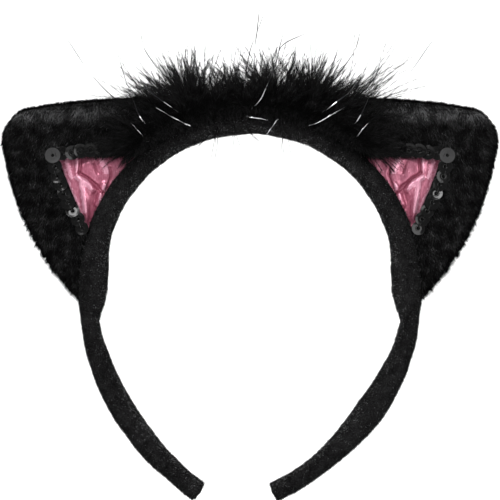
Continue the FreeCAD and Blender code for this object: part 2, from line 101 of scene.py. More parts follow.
def make_studio():
    """Pale floor that curves up into a backdrop, soft lights and an even sky."""
    profile = [(-2.5, 0.0), (1.1, 0.0)]
    profile += [(1.1 + 0.5 * math.sin(a), 0.5 - 0.5 * math.cos(a)) for a in np.linspace(0.1, 1.57, 14)]
    profile.append((1.6, 3.5))
    floor = cad_box[0][2] - 0.09
    points = [(x, y, z + floor) for y, z in profile for x in (-3.0, 3.0)]
    faces = [(i, i + 1, i + 3, i + 2) for i in range(0, len(points) - 2, 2)]
    mesh = bpy.data.meshes.new("studio_floor")
    mesh.from_pydata(points, [], faces)
    stage = bpy.data.objects.new("studio_floor", mesh)
    bpy.context.collection.objects.link(stage)
    paint = bpy.data.materials.new("studio_paint")
    paint.use_nodes = True
    shader = paint.node_tree.nodes["Principled BSDF"]
    shader.inputs["Base Color"].default_value = (0.92, 0.92, 0.92, 1)
    shader.inputs["Roughness"].default_value = 0.9
    mesh.materials.append(paint)
    world = bpy.data.worlds.new("sky")
    bpy.context.scene.world = world
    world.use_nodes = True
    sky = world.node_tree.nodes["Background"]
    sky.inputs["Color"].default_value = (1.0, 1.0, 1.0, 1)
    sky.inputs["Strength"].default_value = 0.38
    area_light("key", (-0.45, -0.8, 0.75), (0, 0, 0.02), 0.5, 14)
    area_light("fill", (0.7, -0.7, 0.25), (0, 0, 0.02), 0.6, 6)
    area_light("backdrop_wash", (0.0, 0.8, 1.6), (0.0, 1.8, 1.1), 1.2, 30)
    bpy.context.scene.view_settings.view_transform = "Standard"


make_camera()
make_studio()


# --- materials ----------------------------------------------------------------------

def new_material(name, color, roughness, **sockets):
    """Principled material; sockets maps socket names, with _ for spaces, to values."""
    material = bpy.data.materials.new(name)
    material.use_nodes = True
    shader = material.node_tree.nodes["Principled BSDF"]
    shader.inputs["Base Color"].default_value = (*color, 1)
    shader.inputs["Roughness"].default_value = roughness
    for socket, value in sockets.items():
        shader.inputs[socket.replace("_", " ")].default_value = value
    return material


def add_node(material, kind, **values):
    """New shader node with the given socket values or settings."""
    node = material.node_tree.nodes.new(kind)
    for key, value in values.items():
        if hasattr(node, key):
            setattr(node, key, value)
        else:
            node.inputs[key.replace("_", " ")].default_value = value
    return node


def link(material, source, target):
    """Join two sockets of a material."""
    material.node_tree.links.new(source, target)


def cloth_texture(material, dark, light, grain, bump, streak=(1.0, 1.0, 1.0)):
    """Mottled colour and fine bump: grain is the size of a fibre clump in millimetres."""
    shader = material.node_tree.nodes["Principled BSDF"]
    place = add_node(material, "ShaderNodeTexCoord")
    scale = add_node(material, "ShaderNodeMapping")
    scale.inputs["Scale"].default_value = streak
    link(material, place.outputs["Object"], scale.inputs["Vector"])
    fine = add_node(material, "ShaderNodeTexNoise", Scale=1 / (grain * MM), Detail=3.0, Roughness=0.7)
    broad = add_node(material, "ShaderNodeTexNoise", Scale=0.12 / (grain * MM), Detail=2.0)
    link(material, scale.outputs["Vector"], fine.inputs["Vector"])
    link(material, scale.outputs["Vector"], broad.inputs["Vector"])
    mixed = add_node(material, "ShaderNodeMath", operation="MULTIPLY_ADD")
    mixed.inputs[1].default_value = 0.75
    link(material, fine.outputs["Fac"], mixed.inputs[0])
    part = add_node(material, "ShaderNodeMath", operation="MULTIPLY")
    part.inputs[1].default_value = 0.25
    link(material, broad.outputs["Fac"], part.inputs[0])
    link(material, part.outputs["Value"], mixed.inputs[2])
    ramp = add_node(material, "ShaderNodeValToRGB")
    ramp.color_ramp.elements[0].position = 0.42
    ramp.color_ramp.elements[0].color = (*dark, 1)
    ramp.color_ramp.elements[1].position = 0.68
    ramp.color_ramp.elements[1].color = (*light, 1)
    link(material, mixed.outputs["Value"], ramp.inputs["Fac"])
    link(material, ramp.outputs["Color"], shader.inputs["Base Color"])
    relief = add_node(material, "ShaderNodeBump", Strength=bump, Distance=0.3 * MM)
    link(material, fine.outputs["Fac"], relief.inputs["Height"])
    link(material, relief.outputs["Normal"], shader.inputs["Normal"])
    return material


def grey(level):
    """Dark grey with a trace of blue."""
    return (level, level, level * 1.02)


VELOUR = cloth_texture(
    new_material("velour", grey(0.006), 0.9, Specular_IOR_Level=0.04),
    grey(0.002), grey(0.020), 0.5, 0.8,
)
PLUSH = cloth_texture(
    new_material("plush_ground", grey(0.006), 0.95, Specular_IOR_Level=0.02),
    grey(0.002), grey(0.009), 0.8, 0.6,
)
THREAD = cloth_texture(new_material("thread", grey(0.01), 0.8), grey(0.006), grey(0.02), 0.15, 0.4)
# Four shades of one black pile fibre, picked partly by random clumps and partly as painted light:
# pile_grey and pile_lit are painted sheen and highlights.
PILE = [
    new_material("pile_deep", grey(0.002), 0.9, Specular_IOR_Level=0.02),
    new_material("pile_black", grey(0.009), 0.85, Specular_IOR_Level=0.04),
    new_material("pile_grey", grey(0.040), 0.8, Specular_IOR_Level=0.08),
    new_material("pile_lit", grey(0.16), 0.7, Specular_IOR_Level=0.15),
]
DOWN = [
    new_material("down_black", grey(0.002), 0.9, Specular_IOR_Level=0.03),
    new_material("down_dark", grey(0.006), 0.85, Specular_IOR_Level=0.04),
    new_material("down_haze", grey(0.022), 0.8, Specular_IOR_Level=0.08),
]
SEQUIN = new_material("sequin_film", grey(0.002), 0.14, Specular_IOR_Level=0.22)
# Matte grey on the corner sequin: a painted reflection of the light it faces; all the sequins are black
# film.
SEQUIN_PAINTED_REFLECTION = new_material("sequin_painted_reflection", grey(0.022), 0.5, Specular_IOR_Level=0.2)
TINSEL = new_material("tinsel_foil", (0.82, 0.83, 0.86), 0.22, Metallic=1.0)
# Dark foil for the tinsel above the trim: a painted dark reflection on silver foil.
TINSEL_PAINTED_DARK = new_material("tinsel_foil_painted_dark_reflection", (0.03, 0.03, 0.033), 0.4, Metallic=1.0)
PLASTIC = cloth_texture(
    new_material("core_plastic", grey(0.02), 0.5), grey(0.016), grey(0.024), 1.5, 0.1
)
WADDING = cloth_texture(
    new_material("wadding_fibre", (0.8, 0.8, 0.78), 0.95),
    (0.62, 0.62, 0.60), (0.86, 0.86, 0.84), 0.9, 0.8,
)
FOAM = cloth_texture(
    new_material("foam_cells", (0.7, 0.68, 0.62), 0.9),
    (0.52, 0.50, 0.45), (0.78, 0.76, 0.70), 0.5, 0.9,
)


def make_satin(name, dark, light):
    """Pink satin: long soft highlights, a fine weave and a little shade variation."""
    satin = new_material(name, dark, 0.3, Metallic=0.35, Anisotropic=0.4, Specular_IOR_Level=0.5)
    return cloth_texture(satin, dark, light, 0.35, 0.2, (1.0, 1.0, 0.25))


# Lit and shaded copies of one pink satin, picked by crease: satin_fold_painted_shade is painted shade in
# the creases and satin_ridge_painted_highlight painted highlight on the ridges.
SATIN = [
    make_satin("satin_fold_painted_shade", (0.19, 0.034, 0.064), (0.32, 0.08, 0.13)),
    make_satin("satin_pink", (0.27, 0.062, 0.105), (0.46, 0.165, 0.235)),
    make_satin("satin_ridge_painted_highlight", (0.48, 0.19, 0.27), (0.74, 0.40, 0.49)),
]


# --- mesh helpers -------------------------------------------------------------------

def make_piece(name, points, faces, materials, slot, picks=None, smooth=True):
    """Mesh object from points in millimetres; picks gives each face its material."""
    mesh = bpy.data.meshes.new(name)
    mesh.from_pydata((np.asarray(points, float) * MM).tolist(), [], np.asarray(faces).tolist()
                     if isinstance(faces, np.ndarray) else faces)
    for material in materials:
        mesh.materials.append(material)
    if picks is not None:
        mesh.polygons.foreach_set("material_index", np.asarray(picks, np.int32))
    mesh.polygons.foreach_set("use_smooth", np.full(len(mesh.polygons), smooth))
    mesh.update()
    piece = bpy.data.objects.new(name, mesh)
    bpy.context.collection.objects.link(piece)
    return piece


def unit(rows):
    """Rows scaled to length 1."""
    return rows / np.maximum(np.linalg.norm(rows, axis=-1, keepdims=True), 1e-9)


def across(rows):
    """A random direction square to each row."""
    return unit(np.cross(rows, rng.normal(size=rows.shape)))


def fibres(name, roots, aims, lengths, widths, picks, materials, slot, bends=None, knees=1):
    """Closed tapering fibres, three-sided, with knees bends between root and tip.

    bends is each fibre's sideways reach at its tip, as a vector.
    """
    count = len(roots)
    aims = unit(aims)
    lengths = np.broadcast_to(lengths, count)[:, None]
    widths = np.broadcast_to(widths, count)[:, None]
    bends = np.zeros((count, 3)) if bends is None else bends
    first = across(aims)
    second = np.cross(aims, first)
    rings = []
    for step in range(knees + 1):
        share = step / (knees + 1)
        middle = roots + aims * lengths * share + bends * share * share
        radius = widths * 0.5 * (1 - 0.55 * share)
        for turn in (0.0, 2.0944, 4.18879):
            rings.append(middle + (first * math.cos(turn) + second * math.sin(turn)) * radius)
    rings.append(roots + aims * lengths + bends)
    each = len(rings)
    points = np.stack(rings, axis=1).reshape(-1, 3)
    pattern = [(2, 1, 0)]
    for step in range(knees):
        low, high = 3 * step, 3 * step + 3
        for edge in range(3):
            following = (edge + 1) % 3
            pattern.append((low + edge, low + following, high + following))
            pattern.append((low + edge, high + following, high + edge))
    for edge in range(3):
        pattern.append((3 * knees + edge, 3 * knees + (edge + 1) % 3, each - 1))
    pattern = np.array(pattern)
    faces = (np.arange(count)[:, None, None] * each + pattern[None]).reshape(-1, 3)
    face_picks = np.repeat(picks, len(pattern))
    return make_piece(name, points, faces, materials, slot, face_picks)


def smooth_noise(points, scale, seed=0.0):
    """Smooth noise in -1..1 at each point; scale is the size of a bump in millimetres."""
    return np.array([noise.noise(Vector(p) / scale + Vector((seed, 0, 0))) for p in points])


def tube(spine, radius, around=8):
    """Closed round tube along a list of points: (points, faces)."""
    spine = np.asarray(spine, float)
    radius = np.broadcast_to(radius, len(spine))
    along = unit(np.gradient(spine, axis=0))
    guide = np.array([0.0, 1.0, 0.0]) if abs(along[0][1]) < 0.9 else np.array([1.0, 0.0, 0.0])
    first = unit(np.cross(along, guide))
    second = np.cross(along, first)
    turns = np.arange(around) * 2 * math.pi / around
    rings = (spine[:, None] + radius[:, None, None] * (
        first[:, None] * np.cos(turns)[None, :, None]
        + second[:, None] * np.sin(turns)[None, :, None]))
    return loft_faces(rings)


def loft_faces(rings):
    """Points and faces of a closed loft: an array of rings with both ends capped."""
    count, around = rings.shape[:2]
    points = rings.reshape(-1, 3)
    faces = []
    for ring in range(count - 1):
        low = ring * around
        for step in range(around):
            following = (step + 1) % around
            faces.append((low + step, low + following, low + around + following, low + around + step))
    faces.append(tuple(range(around - 1, -1, -1)))
    faces.append(tuple(range((count - 1) * around, count * around)))
    return points, faces


def merged(parts):
    """One point list and face list from several."""
    points, faces, start = [], [], 0
    for part_points, part_faces in parts:
        points.extend(np.asarray(part_points).tolist())
        faces.extend(tuple(start + corner for corner in face) for face in part_faces)
        start += len(part_points)
    return points, faces


# --- band ---------------------------------------------------------------------------

# Rows of the soft sleeve's profile: distance along the band from the crown's middle, then its
# half-thickness towards the head and away from it on the left side, and the same on the right.
SLEEVE_PROFILE = np.array([
    (0, 4.6, 3.2, 4.6, 3.2),
    (40, 4.7, 3.3, 4.7, 3.3),
    (55, 5.1, 3.5, 5.1, 3.5),
    (75, 5.2, 3.6, 5.5, 3.6),
    (84, 6.2, 3.6, 6.4, 3.6),
    (90, 6.9, 3.7, 7.1, 3.7),
    (99, 6.7, 4.2, 7.0, 4.0),
    (104, 5.4, 4.3, 5.6, 4.2),
    (107, 4.1, 4.1, 4.3, 4.2),
    (111, 2.2, 4.1, 2.5, 4.4),
    (119, 2.6, 4.6, 2.6, 4.8),
    (127, 3.3, 4.8, 3.5, 5.0),
    (137, 3.8, 4.9, 4.8, 5.2),
    (147, 4.2, 4.7, 5.6, 5.2),
    (158, 4.3, 4.5, 5.3, 4.4),
    (168, 4.0, 4.4, 4.5, 3.8),
    (177, 3.5, 4.0, 3.5, 3.6),
    (188, 3.2, 4.2, 3.2, 3.9),
])
SLEEVE_STATIONS = SLEEVE_PROFILE[:, 0]
SLEEVE_HEAD = {"left": SLEEVE_PROFILE[:, 1], "right": SLEEVE_PROFILE[:, 3]}
SLEEVE_OUTSIDE = {"left": SLEEVE_PROFILE[:, 2], "right": SLEEVE_PROFILE[:, 4]}
SLEEVE_WIDTH = 5.8


def band_length(name):
    """Length of one side from the crown's middle to its tip."""
    radius, sweep = LEGS[name]
    return QUARTER + radius * sweep


def band_place(name, distance):
    """Centre, outward direction and downward direction of the band at some distances."""
    side = SIDES[name]
    distance = np.atleast_1d(np.asarray(distance, float))
    radius = LEGS[name][0]
    on_crown = distance <= QUARTER
    angle = np.where(on_crown, math.pi / 2 - distance / CROWN, -(distance - QUARTER) / radius)
    reach = np.where(on_crown, CROWN, radius)
    hub = np.where(on_crown, 0.0, CROWN - radius)
    out = np.stack([side * np.cos(angle), np.zeros_like(angle), np.sin(angle)], axis=1)
    down = np.stack([side * np.sin(angle), np.zeros_like(angle), -np.cos(angle)], axis=1)
    centre = out * reach[:, None] + np.stack([side * hub, 0 * hub, 0 * hub], axis=1)
    return centre, out, down


def sleeve_surface(name, distance, turn, share=1.0):
    """Points on the soft sleeve; turn is 0 on the outside and a quarter turn at the rear."""
    centre, out, _ = band_place(name, distance)
    head = np.interp(distance, SLEEVE_STATIONS, SLEEVE_HEAD[name])
    outside = np.interp(distance, SLEEVE_STATIONS, SLEEVE_OUTSIDE[name])
    cosine, sine = np.cos(turn), np.sin(turn)
    round_off = (np.abs(cosine) ** 2.5 + np.abs(sine) ** 2.5) ** (-1 / 2.5)
    tip = band_length(name) - np.asarray(distance)
    close = np.sqrt(np.clip(1 - (1 - np.clip(tip / 1.3, 0, 1)) ** 2, 0.02, 1))
    depth = np.where(cosine > 0, outside, head) * cosine * round_off * close * share
    width = SLEEVE_WIDTH * sine * round_off * (0.75 + 0.25 * close) * share
    pinch = 1 - 0.10 * np.exp(-((np.asarray(distance) - 111) / 7) ** 2)
    return centre + out * depth[:, None] + np.stack([0 * width, width * pinch, 0 * width], axis=1)


def rumple(points, amount=1.0):
    """Height of soft dents of two sizes at each point, in millimetres."""
    broad = smooth_noise(points, 9.0, 3.1)
    fine = smooth_noise(points, 2.7, 8.7)
    return (0.30 * broad + 0.13 * fine) * amount


def sleeve_rings(name, share=1.0, around=30, step=0.9, start=0.0, stop=0.0):
    """Loft rings of the sleeve, or of something inside it, with soft dents."""
    length = band_length(name) - stop
    count = int((length - start) / step)
    closing = length - np.array([1.0, 0.5, 0.0])
    distances = np.concatenate([np.linspace(start, length - 1.5, count), closing])
    turns = np.arange(around) * 2 * math.pi / around
    flat_distance = np.repeat(distances, around)
    flat_turn = np.tile(turns, len(distances))
    points = sleeve_surface(name, flat_distance, flat_turn, share)
    centre = band_place(name, flat_distance)[0]
    points = points + unit(points - centre) * rumple(points)[:, None] * share
    rings = points.reshape(len(distances), around, 3)
    return rings if SIDES[name] > 0 else rings[:, ::-1]


def flex_blend(piece):
    """Bakes the piece's placement into its mesh."""
    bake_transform(piece)


def make_sleeve(name):
    """Velour sleeve from the crown's middle to one tip."""
    points, faces = loft_faces(sleeve_rings(name))
    sleeve = make_piece(f"velour_sleeve_{name}", points, faces, [VELOUR], "band_velour")
    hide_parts(f"band_sleeve_{name}", "band_sleeve_crown")
    flex_blend(sleeve)


def make_wadding(name):
    """Wadding inside the sleeve."""
    points, faces = loft_faces(sleeve_rings(name, 0.72, 16, 2.0, 0.0, 3.0))
    wadding = make_piece(f"wadding_{name}", points, faces, [WADDING], "white_wadding")
    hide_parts(f"band_padding_{name}", "band_padding_crown")
    flex_blend(wadding)


def make_sleeve_pile(name, count):
    """Short velour pile all round one half of the sleeve, brushed towards the tip; its shades are random
    mottle plus a painted sheen on the head side towards the front.
    """
    distance = rng.uniform(0, band_length(name) - 0.3, count)
    turn = rng.uniform(0, 2 * math.pi, count)
    points = sleeve_surface(name, distance, turn)
    centre, _, down = band_place(name, distance)
    normal = unit(points - centre)
    points = points + normal * (rumple(points) - 0.12)[:, None]
    aims = normal * 0.8 + down * 0.55 + rng.normal(scale=0.35, size=points.shape)
    streak = smooth_noise(points * np.array([0.35, 1, 0.35]), 2.4, 15.0)
    # Painted sheen: fibres near a turn of 222 degrees, on the head side towards the front, get lighter
    # shades in streaks.
    sheen = 0.75 * np.exp(-((turn - math.radians(222)) / 0.55) ** 2) * (0.75 + 0.8 * streak)
    mottle_and_sheen = smooth_noise(points, 1.6, 5.0) * 0.7 + sheen + rng.normal(scale=0.45, size=count) - 0.03
    picks = np.digitize(mottle_and_sheen, (0.10, 0.55, 1.05))
    lengths = rng.uniform(0.45, 1.05, count) * np.where(rng.uniform(0, 1, count) < 0.02, 1.7, 1.0)
    pile = fibres(f"velour_pile_{name}", points, aims, lengths, 0.15, picks, PILE,
                  "band_velour", None, 0)
    flex_blend(pile)


def make_seam(name):
    """Closing stitches along the sleeve's rear inner edge."""
    turn = math.radians(138)
    parts = []
    for distance in np.arange(4.0, band_length(name) - 5, 4.2):
        steps = distance + np.linspace(0, 2.5, 6)
        points = sleeve_surface(name, steps, np.full(6, turn))
        lift = rumple(points) + 0.16 * np.sin(np.linspace(0, math.pi, 6)) - 0.04
        points = points + unit(points - band_place(name, steps)[0]) * lift[:, None]
        parts.append(tube(points, 0.16, 6))
    points, faces = merged(parts)
    seam = make_piece(f"sleeve_seam_{name}", points, faces, [THREAD], "black_thread")
    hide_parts(f"sleeve_seam_stitches_{name}", "sleeve_seam_stitches_crown")
    flex_blend(seam)


PILE_COUNT = 46000
for name in SIDES:
    make_sleeve(name)
    make_wadding(name)
    make_sleeve_pile(name, PILE_COUNT)
    make_seam(name)


# --- ears -----------------------------------------------------------------------------

EAR_BASE = 63.4
EAR_TOP_ANGLE = math.radians(62)
EAR_FOOT_ANGLE = math.radians(-5)
EAR_SEAM = 0.3
EAR_FRONT = -3.5
EAR_REAR = 4.0
LINING_DEPTH = -1.25
FOAM_FRONT, FOAM_REAR = -0.5, 2.5
FOAM_INSET = 2.6
WINDOW = np.array([(60.7, 17.6), (73.2, 47.7), (42.0, 47.8)])


def polar(radius, angle):
    """Point on the front plane at a radius and angle about the origin."""
    return radius * np.stack([np.cos(angle), np.sin(angle)], axis=-1)


def bowed(start, finish, rise, count):
    """Points from start towards finish that bow to the right of the path by rise."""
    start, finish = np.array(start, float), np.array(finish, float)
    share = np.arange(count)[:, None] / count
    chord = finish - start
    right = np.array([chord[1], -chord[0]]) / np.linalg.norm(chord)
    return start + chord * share + right * rise * 4 * share * (1 - share)


def ear_outline(step):
    """Right-hand ear outline, anticlockwise: outer side, tip, top, inner end, base arc."""
    foot = polar(EAR_BASE, EAR_FOOT_ANGLE)
    inner = polar(EAR_BASE, EAR_TOP_ANGLE)
    low, tip, top, back = (93.3, 52.5), (91.2, 60.9), (84.6, 65.8), (36.0, 69.6)
    base = np.linspace(EAR_TOP_ANGLE, EAR_FOOT_ANGLE, int(74 / step))[:-1]
    return np.concatenate([
        bowed(foot, low, 5.4, int(66 / step)),
        bowed(low, tip, 0.9, int(9 / step)),
        bowed(tip, top, 0.8, int(8 / step)),
        bowed(top, back, 1.2, int(49 / step)),
        bowed(back, inner, 0.0, int(15 / step)),
        polar(EAR_BASE, base),
    ])


def inside(points, loop):
    """Which points lie inside a closed loop."""
    result = np.zeros(len(points), bool)
    for (x1, z1), (x2, z2) in zip(loop, np.roll(loop, -1, axis=0)):
        crossing = (points[:, 1] < z1) != (points[:, 1] < z2)
        level = (x2 - x1) * (points[:, 1] - z1) / ((z2 - z1) or 1e-12) + x1
        result ^= crossing & (points[:, 0] < level)
    return result


def distance_to(points, starts, ends):
    """Each point's distance to the nearest of some straight runs."""
    best = np.full(len(points), 1e9)
    for start, end in zip(starts, ends):
        run = end - start
        share = np.clip(((points - start) @ run) / max(run @ run, 1e-12), 0, 1)
        gap = np.linalg.norm(points - start - share[:, None] * run, axis=1)
        best = np.minimum(best, gap)
    return best


EAR_LOOP = ear_outline(1.5)
EAR_ENDS = np.roll(EAR_LOOP, -1, axis=0)
WINDOW_SIDES = (WINDOW[[0, 1]], WINDOW[[1, 2]])


def rounded(distance, width):
    """Quarter-round profile: 0 at an edge and 1 from width inwards."""
    share = 1 - np.clip(distance / width, 0, 1)
    return np.sqrt(np.clip(1 - share * share, 0, 1))


def dents(spots, depth):
    """Soft unevenness of the plush over the foam."""
    points = np.stack([spots[:, 0], np.full(len(spots), depth), spots[:, 1]], axis=1)
    return 0.45 * smooth_noise(points, 13.0, 2.0) + 0.16 * smooth_noise(points, 4.0, 6.0)


def border_front(spots):
    """Depth of the ear's front surface; it rolls over at the outline and at the window."""
    edge = distance_to(spots, EAR_LOOP, EAR_ENDS)
    window = distance_to(spots, *WINDOW_SIDES)
    level = EAR_FRONT - 0.5 * np.clip(edge / 14, 0, 1) + dents(spots, 0.0)
    surface = EAR_SEAM + (level - EAR_SEAM) * rounded(edge, 3.2)
    share = np.where(surface < LINING_DEPTH, rounded(window, 2.2), 1)
    return LINING_DEPTH + (surface - LINING_DEPTH) * share


def border_rear(spots):
    """Depth of the front border's hidden side."""
    front = border_front(spots)
    return np.maximum(front + 0.25, np.minimum(front + 1.5, -0.62))


def panel_rear(spots):
    """Depth of the ear's rear surface."""
    edge = distance_to(spots, EAR_LOOP, EAR_ENDS)
    level = EAR_REAR + 0.4 * np.clip(edge / 14, 0, 1) + dents(spots, 30.0) * 0.8
    return EAR_SEAM + 0.35 + (level - EAR_SEAM - 0.35) * rounded(edge, 3.0)


def panel_front(spots):
    """Depth of the back panel's hidden side, against the foam."""
    rear = panel_rear(spots)
    return np.maximum(rear - 1.2, np.minimum(rear - 0.1, 2.56))


def cloth_region(loop, spacing, keep, cuts=()):
    """Triangulated spots inside a loop; cuts are runs whose sides the triangles follow."""
    low, high = loop.min(axis=0), loop.max(axis=0)
    rows = np.arange(low[1], high[1], spacing * 0.87)
    grid = [
        (x + (index % 2) * spacing / 2, z)
        for index, z in enumerate(rows) for x in np.arange(low[0], high[0], spacing)
    ]
    grid = np.array(grid)
    starts = [loop] + [cut[:-1] for cut in cuts]
    ends = [np.roll(loop, -1, axis=0)] + [cut[1:] for cut in cuts]
    clear = distance_to(grid, np.concatenate(starts), np.concatenate(ends)) > spacing * 0.45
    grid = grid[inside(grid, loop) & clear]
    spots = np.concatenate([loop, *cuts, grid])
    edges = [(i, (i + 1) % len(loop)) for i in range(len(loop))]
    offset = len(loop)
    for cut in cuts:
        edges += [(offset + i, offset + i + 1) for i in range(len(cut) - 1)]
        offset += len(cut)
    found = delaunay_2d_cdt([Vector(spot) for spot in spots], edges, [], 0, 1e-5)
    spots = np.array([tuple(spot) for spot in found[0]])
    faces = np.array(found[2])
    middles = spots[faces].mean(axis=1)
    faces = faces[inside(middles, loop) & keep(middles)]
    used, flat = np.unique(faces, return_inverse=True)
    return spots[used], flat.reshape(-1, 3)


def closed_cloth(spots, faces, front, rear):
    """Closed sheet between two depths over the same triangulated spots."""
    count = len(spots)
    near = np.stack([spots[:, 0], front, spots[:, 1]], axis=1)
    far = np.stack([spots[:, 0], rear, spots[:, 1]], axis=1)
    edges = {(a, b) for face in faces.tolist() for a, b in zip(face, face[1:] + face[:1])}
    walls = [(a, a + count, b + count, b) for a, b in sorted(edges) if (b, a) not in edges]
    all_faces = faces.tolist() + (faces[:, ::-1] + count).tolist() + walls
    return np.concatenate([near, far]), all_faces


def mirrored(points, faces, side):
    """The right-hand piece as it is, or its mirror copy."""
    if side > 0:
        return points, faces
    return points * np.array([-1, 1, 1]), [tuple(face)[::-1] for face in faces]


def ear_blend(piece):
    """Bakes the piece's placement into its mesh."""
    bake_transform(piece)


def off_window(spots):
    """Spots on the border, outside its window."""
    return ~inside(spots, WINDOW)


def off_seam(spots):
    """Spots well inside the ear's outline."""
    return distance_to(spots, EAR_LOOP, EAR_ENDS) > FOAM_INSET


def everywhere(spots):
    """Every spot."""
    return np.ones(len(spots), bool)


def dense(points, count):
    """Points added along an open path so that each run has count pieces."""
    rows = [a + (b - a) * np.arange(count)[:, None] / count for a, b in zip(points, points[1:])]
    return np.concatenate(rows + [points[-1:]])


def make_ear_shells():
    """Plush front border and back panel of both ears."""
    border = cloth_region(EAR_LOOP, 1.7, off_window, (dense(WINDOW, 20),))
    panel = cloth_region(EAR_LOOP, 1.9, everywhere)
    front = closed_cloth(*border, border_front(border[0]), border_rear(border[0]))
    rear = closed_cloth(*panel, panel_front(panel[0]), panel_rear(panel[0]))
    for name, side in SIDES.items():
        shell = make_piece(f"ear_border_{name}", *mirrored(*front, side), [PLUSH], "ear_plush")
        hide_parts(f"{name}_ear_front_border")
        ear_blend(shell)
        back = make_piece(f"ear_back_{name}", *mirrored(*rear, side), [PLUSH], "ear_plush")
        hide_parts(f"{name}_ear_back_panel", f"{name}_ear_base_strip")
        ear_blend(back)


def make_foam():
    """Foam inside both ears, clear of the seam all round."""
    spots, faces = cloth_region(EAR_LOOP, 1.4, off_seam)
    front, rear = np.full(len(spots), FOAM_FRONT), np.full(len(spots), FOAM_REAR)
    foam = closed_cloth(spots, faces, front, rear)
    for name, side in SIDES.items():
        insert = make_piece(f"foam_insert_{name}", *mirrored(*foam, side), [FOAM], "ear_foam",
                            None, False)
        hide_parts(f"{name}_ear_foam_insert")
        ear_blend(insert)


def slope(surface, spots):
    """Outward normals of a depth surface; rear surfaces need them turned over."""
    step = 0.15
    base = surface(spots)
    along_x = (surface(spots + (step, 0)) - base) / step
    along_z = (surface(spots + (0, step)) - base) / step
    return base, unit(np.stack([along_x, -np.ones(len(spots)), along_z], axis=1))


def scatter(count, keep):
    """Random spots inside the ear's outline that pass keep."""
    low, high = EAR_LOOP.min(axis=0), EAR_LOOP.max(axis=0)
    spots = rng.uniform(low, high, (int(count * 2.6), 2))
    return spots[inside(spots, EAR_LOOP) & keep(spots)][:count]


def nap_aims(points, normals, lift):
    """Directions of brushed plush: down and a little outward."""
    lean = np.tile((0.30, 0.0, -0.95), (len(points), 1))
    stray = rng.normal(scale=0.26, size=points.shape)
    swirl = smooth_noise(points, 7.0, 4.0)[:, None] * np.array([0.5, 0.0, 0.1])
    return normals * lift + lean + stray + swirl


def shade(points, lit_share):
    """Fibre shades in soft clumps; lit_share in 0..1 brightens some of them."""
    clumps = smooth_noise(points, 3.2, 11.0) * 0.7 + rng.normal(scale=0.42, size=len(points))
    return np.digitize(clumps + lit_share, (-0.15, 0.62, 1.35))


def top_painted_highlight(points):
    """Painted highlight: more lit fibres in the strip under the ear's top edge, where the pile turns
    over and catches the light.
    """
    drop = 68.6 - 0.03 * (points[:, 0] - 60) ** 2 / 20 - points[:, 2]
    return 1.0 * np.exp(-((drop - 4.6) / 3.0) ** 2)


def make_ear_pile(name, count):
    """Plush pile on the front, the back and the rim of one ear."""
    flip = np.array([SIDES[name], 1, 1])
    spots = scatter(count, off_window)
    depth, normals = slope(border_front, spots)
    roots = np.stack([spots[:, 0], depth + 0.15, spots[:, 1]], axis=1)
    aims = nap_aims(roots, normals, 0.55)
    lengths = rng.uniform(1.3, 2.2, len(roots))
    # Painted highlight under the top edge of the front.
    picks = shade(roots, top_painted_highlight(roots) + 0.10)
    front = fibres(f"ear_pile_front_{name}", roots * flip, aims * flip, lengths, 0.18, picks, PILE,
                   "ear_plush", None, 0)
    ear_blend(front)
    spots = scatter(int(count * 0.8), everywhere)
    depth, normals = slope(panel_rear, spots)
    normals = -normals
    roots = np.stack([spots[:, 0], depth - 0.15, spots[:, 1]], axis=1)
    aims = nap_aims(roots, normals, 0.55)
    # Painted highlight under the top edge, weaker on the back.
    picks = shade(roots, top_painted_highlight(roots) * 0.7)
    rear = fibres(f"ear_pile_rear_{name}", roots * flip, aims * flip, rng.uniform(1.3, 2.2, len(roots)),
                  0.18, picks, PILE, "ear_plush", None, 0)
    ear_blend(rear)
    make_ear_rim(name, int(count * 0.3), flip)


def make_ear_rim(name, count, flip):
    """Pile along the seam of one ear, longest low on the outer side."""
    runs = EAR_ENDS - EAR_LOOP
    free = np.arange(len(EAR_LOOP)) < len(EAR_LOOP) - 40
    choice = rng.choice(np.flatnonzero(free), count)
    spots = EAR_LOOP[choice] + runs[choice] * rng.uniform(0, 1, (count, 1))
    out = unit(np.stack([runs[choice, 1], np.zeros(count), -runs[choice, 0]], axis=1))
    depth = rng.uniform(-2.2, 2.8, count)
    inward = 0.15 + 0.10 * (depth - 0.3) ** 2
    roots = np.stack([spots[:, 0], depth, spots[:, 1]], axis=1) - out * inward[:, None]
    lean = np.array([0.25, 0.0, -1.0]) * np.where(out[:, 2] > 0.6, 0.35, 0.9)[:, None]
    aims = out * 0.62 + lean + rng.normal(scale=0.22, size=roots.shape)
    aims[:, 1] += (depth - 0.3) * 0.12
    low = np.clip((45 - spots[:, 1]) / 40, 0, 1)
    tufts = 0.8 + 0.6 * smooth_noise(roots, 1.1, 9.0)
    along_top = np.where(out[:, 2] > 0.6, 0.6, 1.0)
    lengths = rng.uniform(1.5, 2.7, count) * (1 + 0.8 * low) * along_top * tufts
    picks = np.minimum(shade(roots, -0.6), 1)
    rim = fibres(f"ear_pile_rim_{name}", roots * flip, aims * flip, lengths, 0.24, picks, PILE,
                 "ear_plush")
    ear_blend(rim)


EAR_PILE_COUNT = 44000
make_ear_shells()
make_foam()
for name in SIDES:
    make_ear_pile(name, EAR_PILE_COUNT)


# --- satin linings ----------------------------------------------------------------------

LINING_BASE = 63.9
LINING_FOOT = math.radians(12)
LINING_TOP = math.radians(53)
LINING_CORNER = (76.0, 51.0)

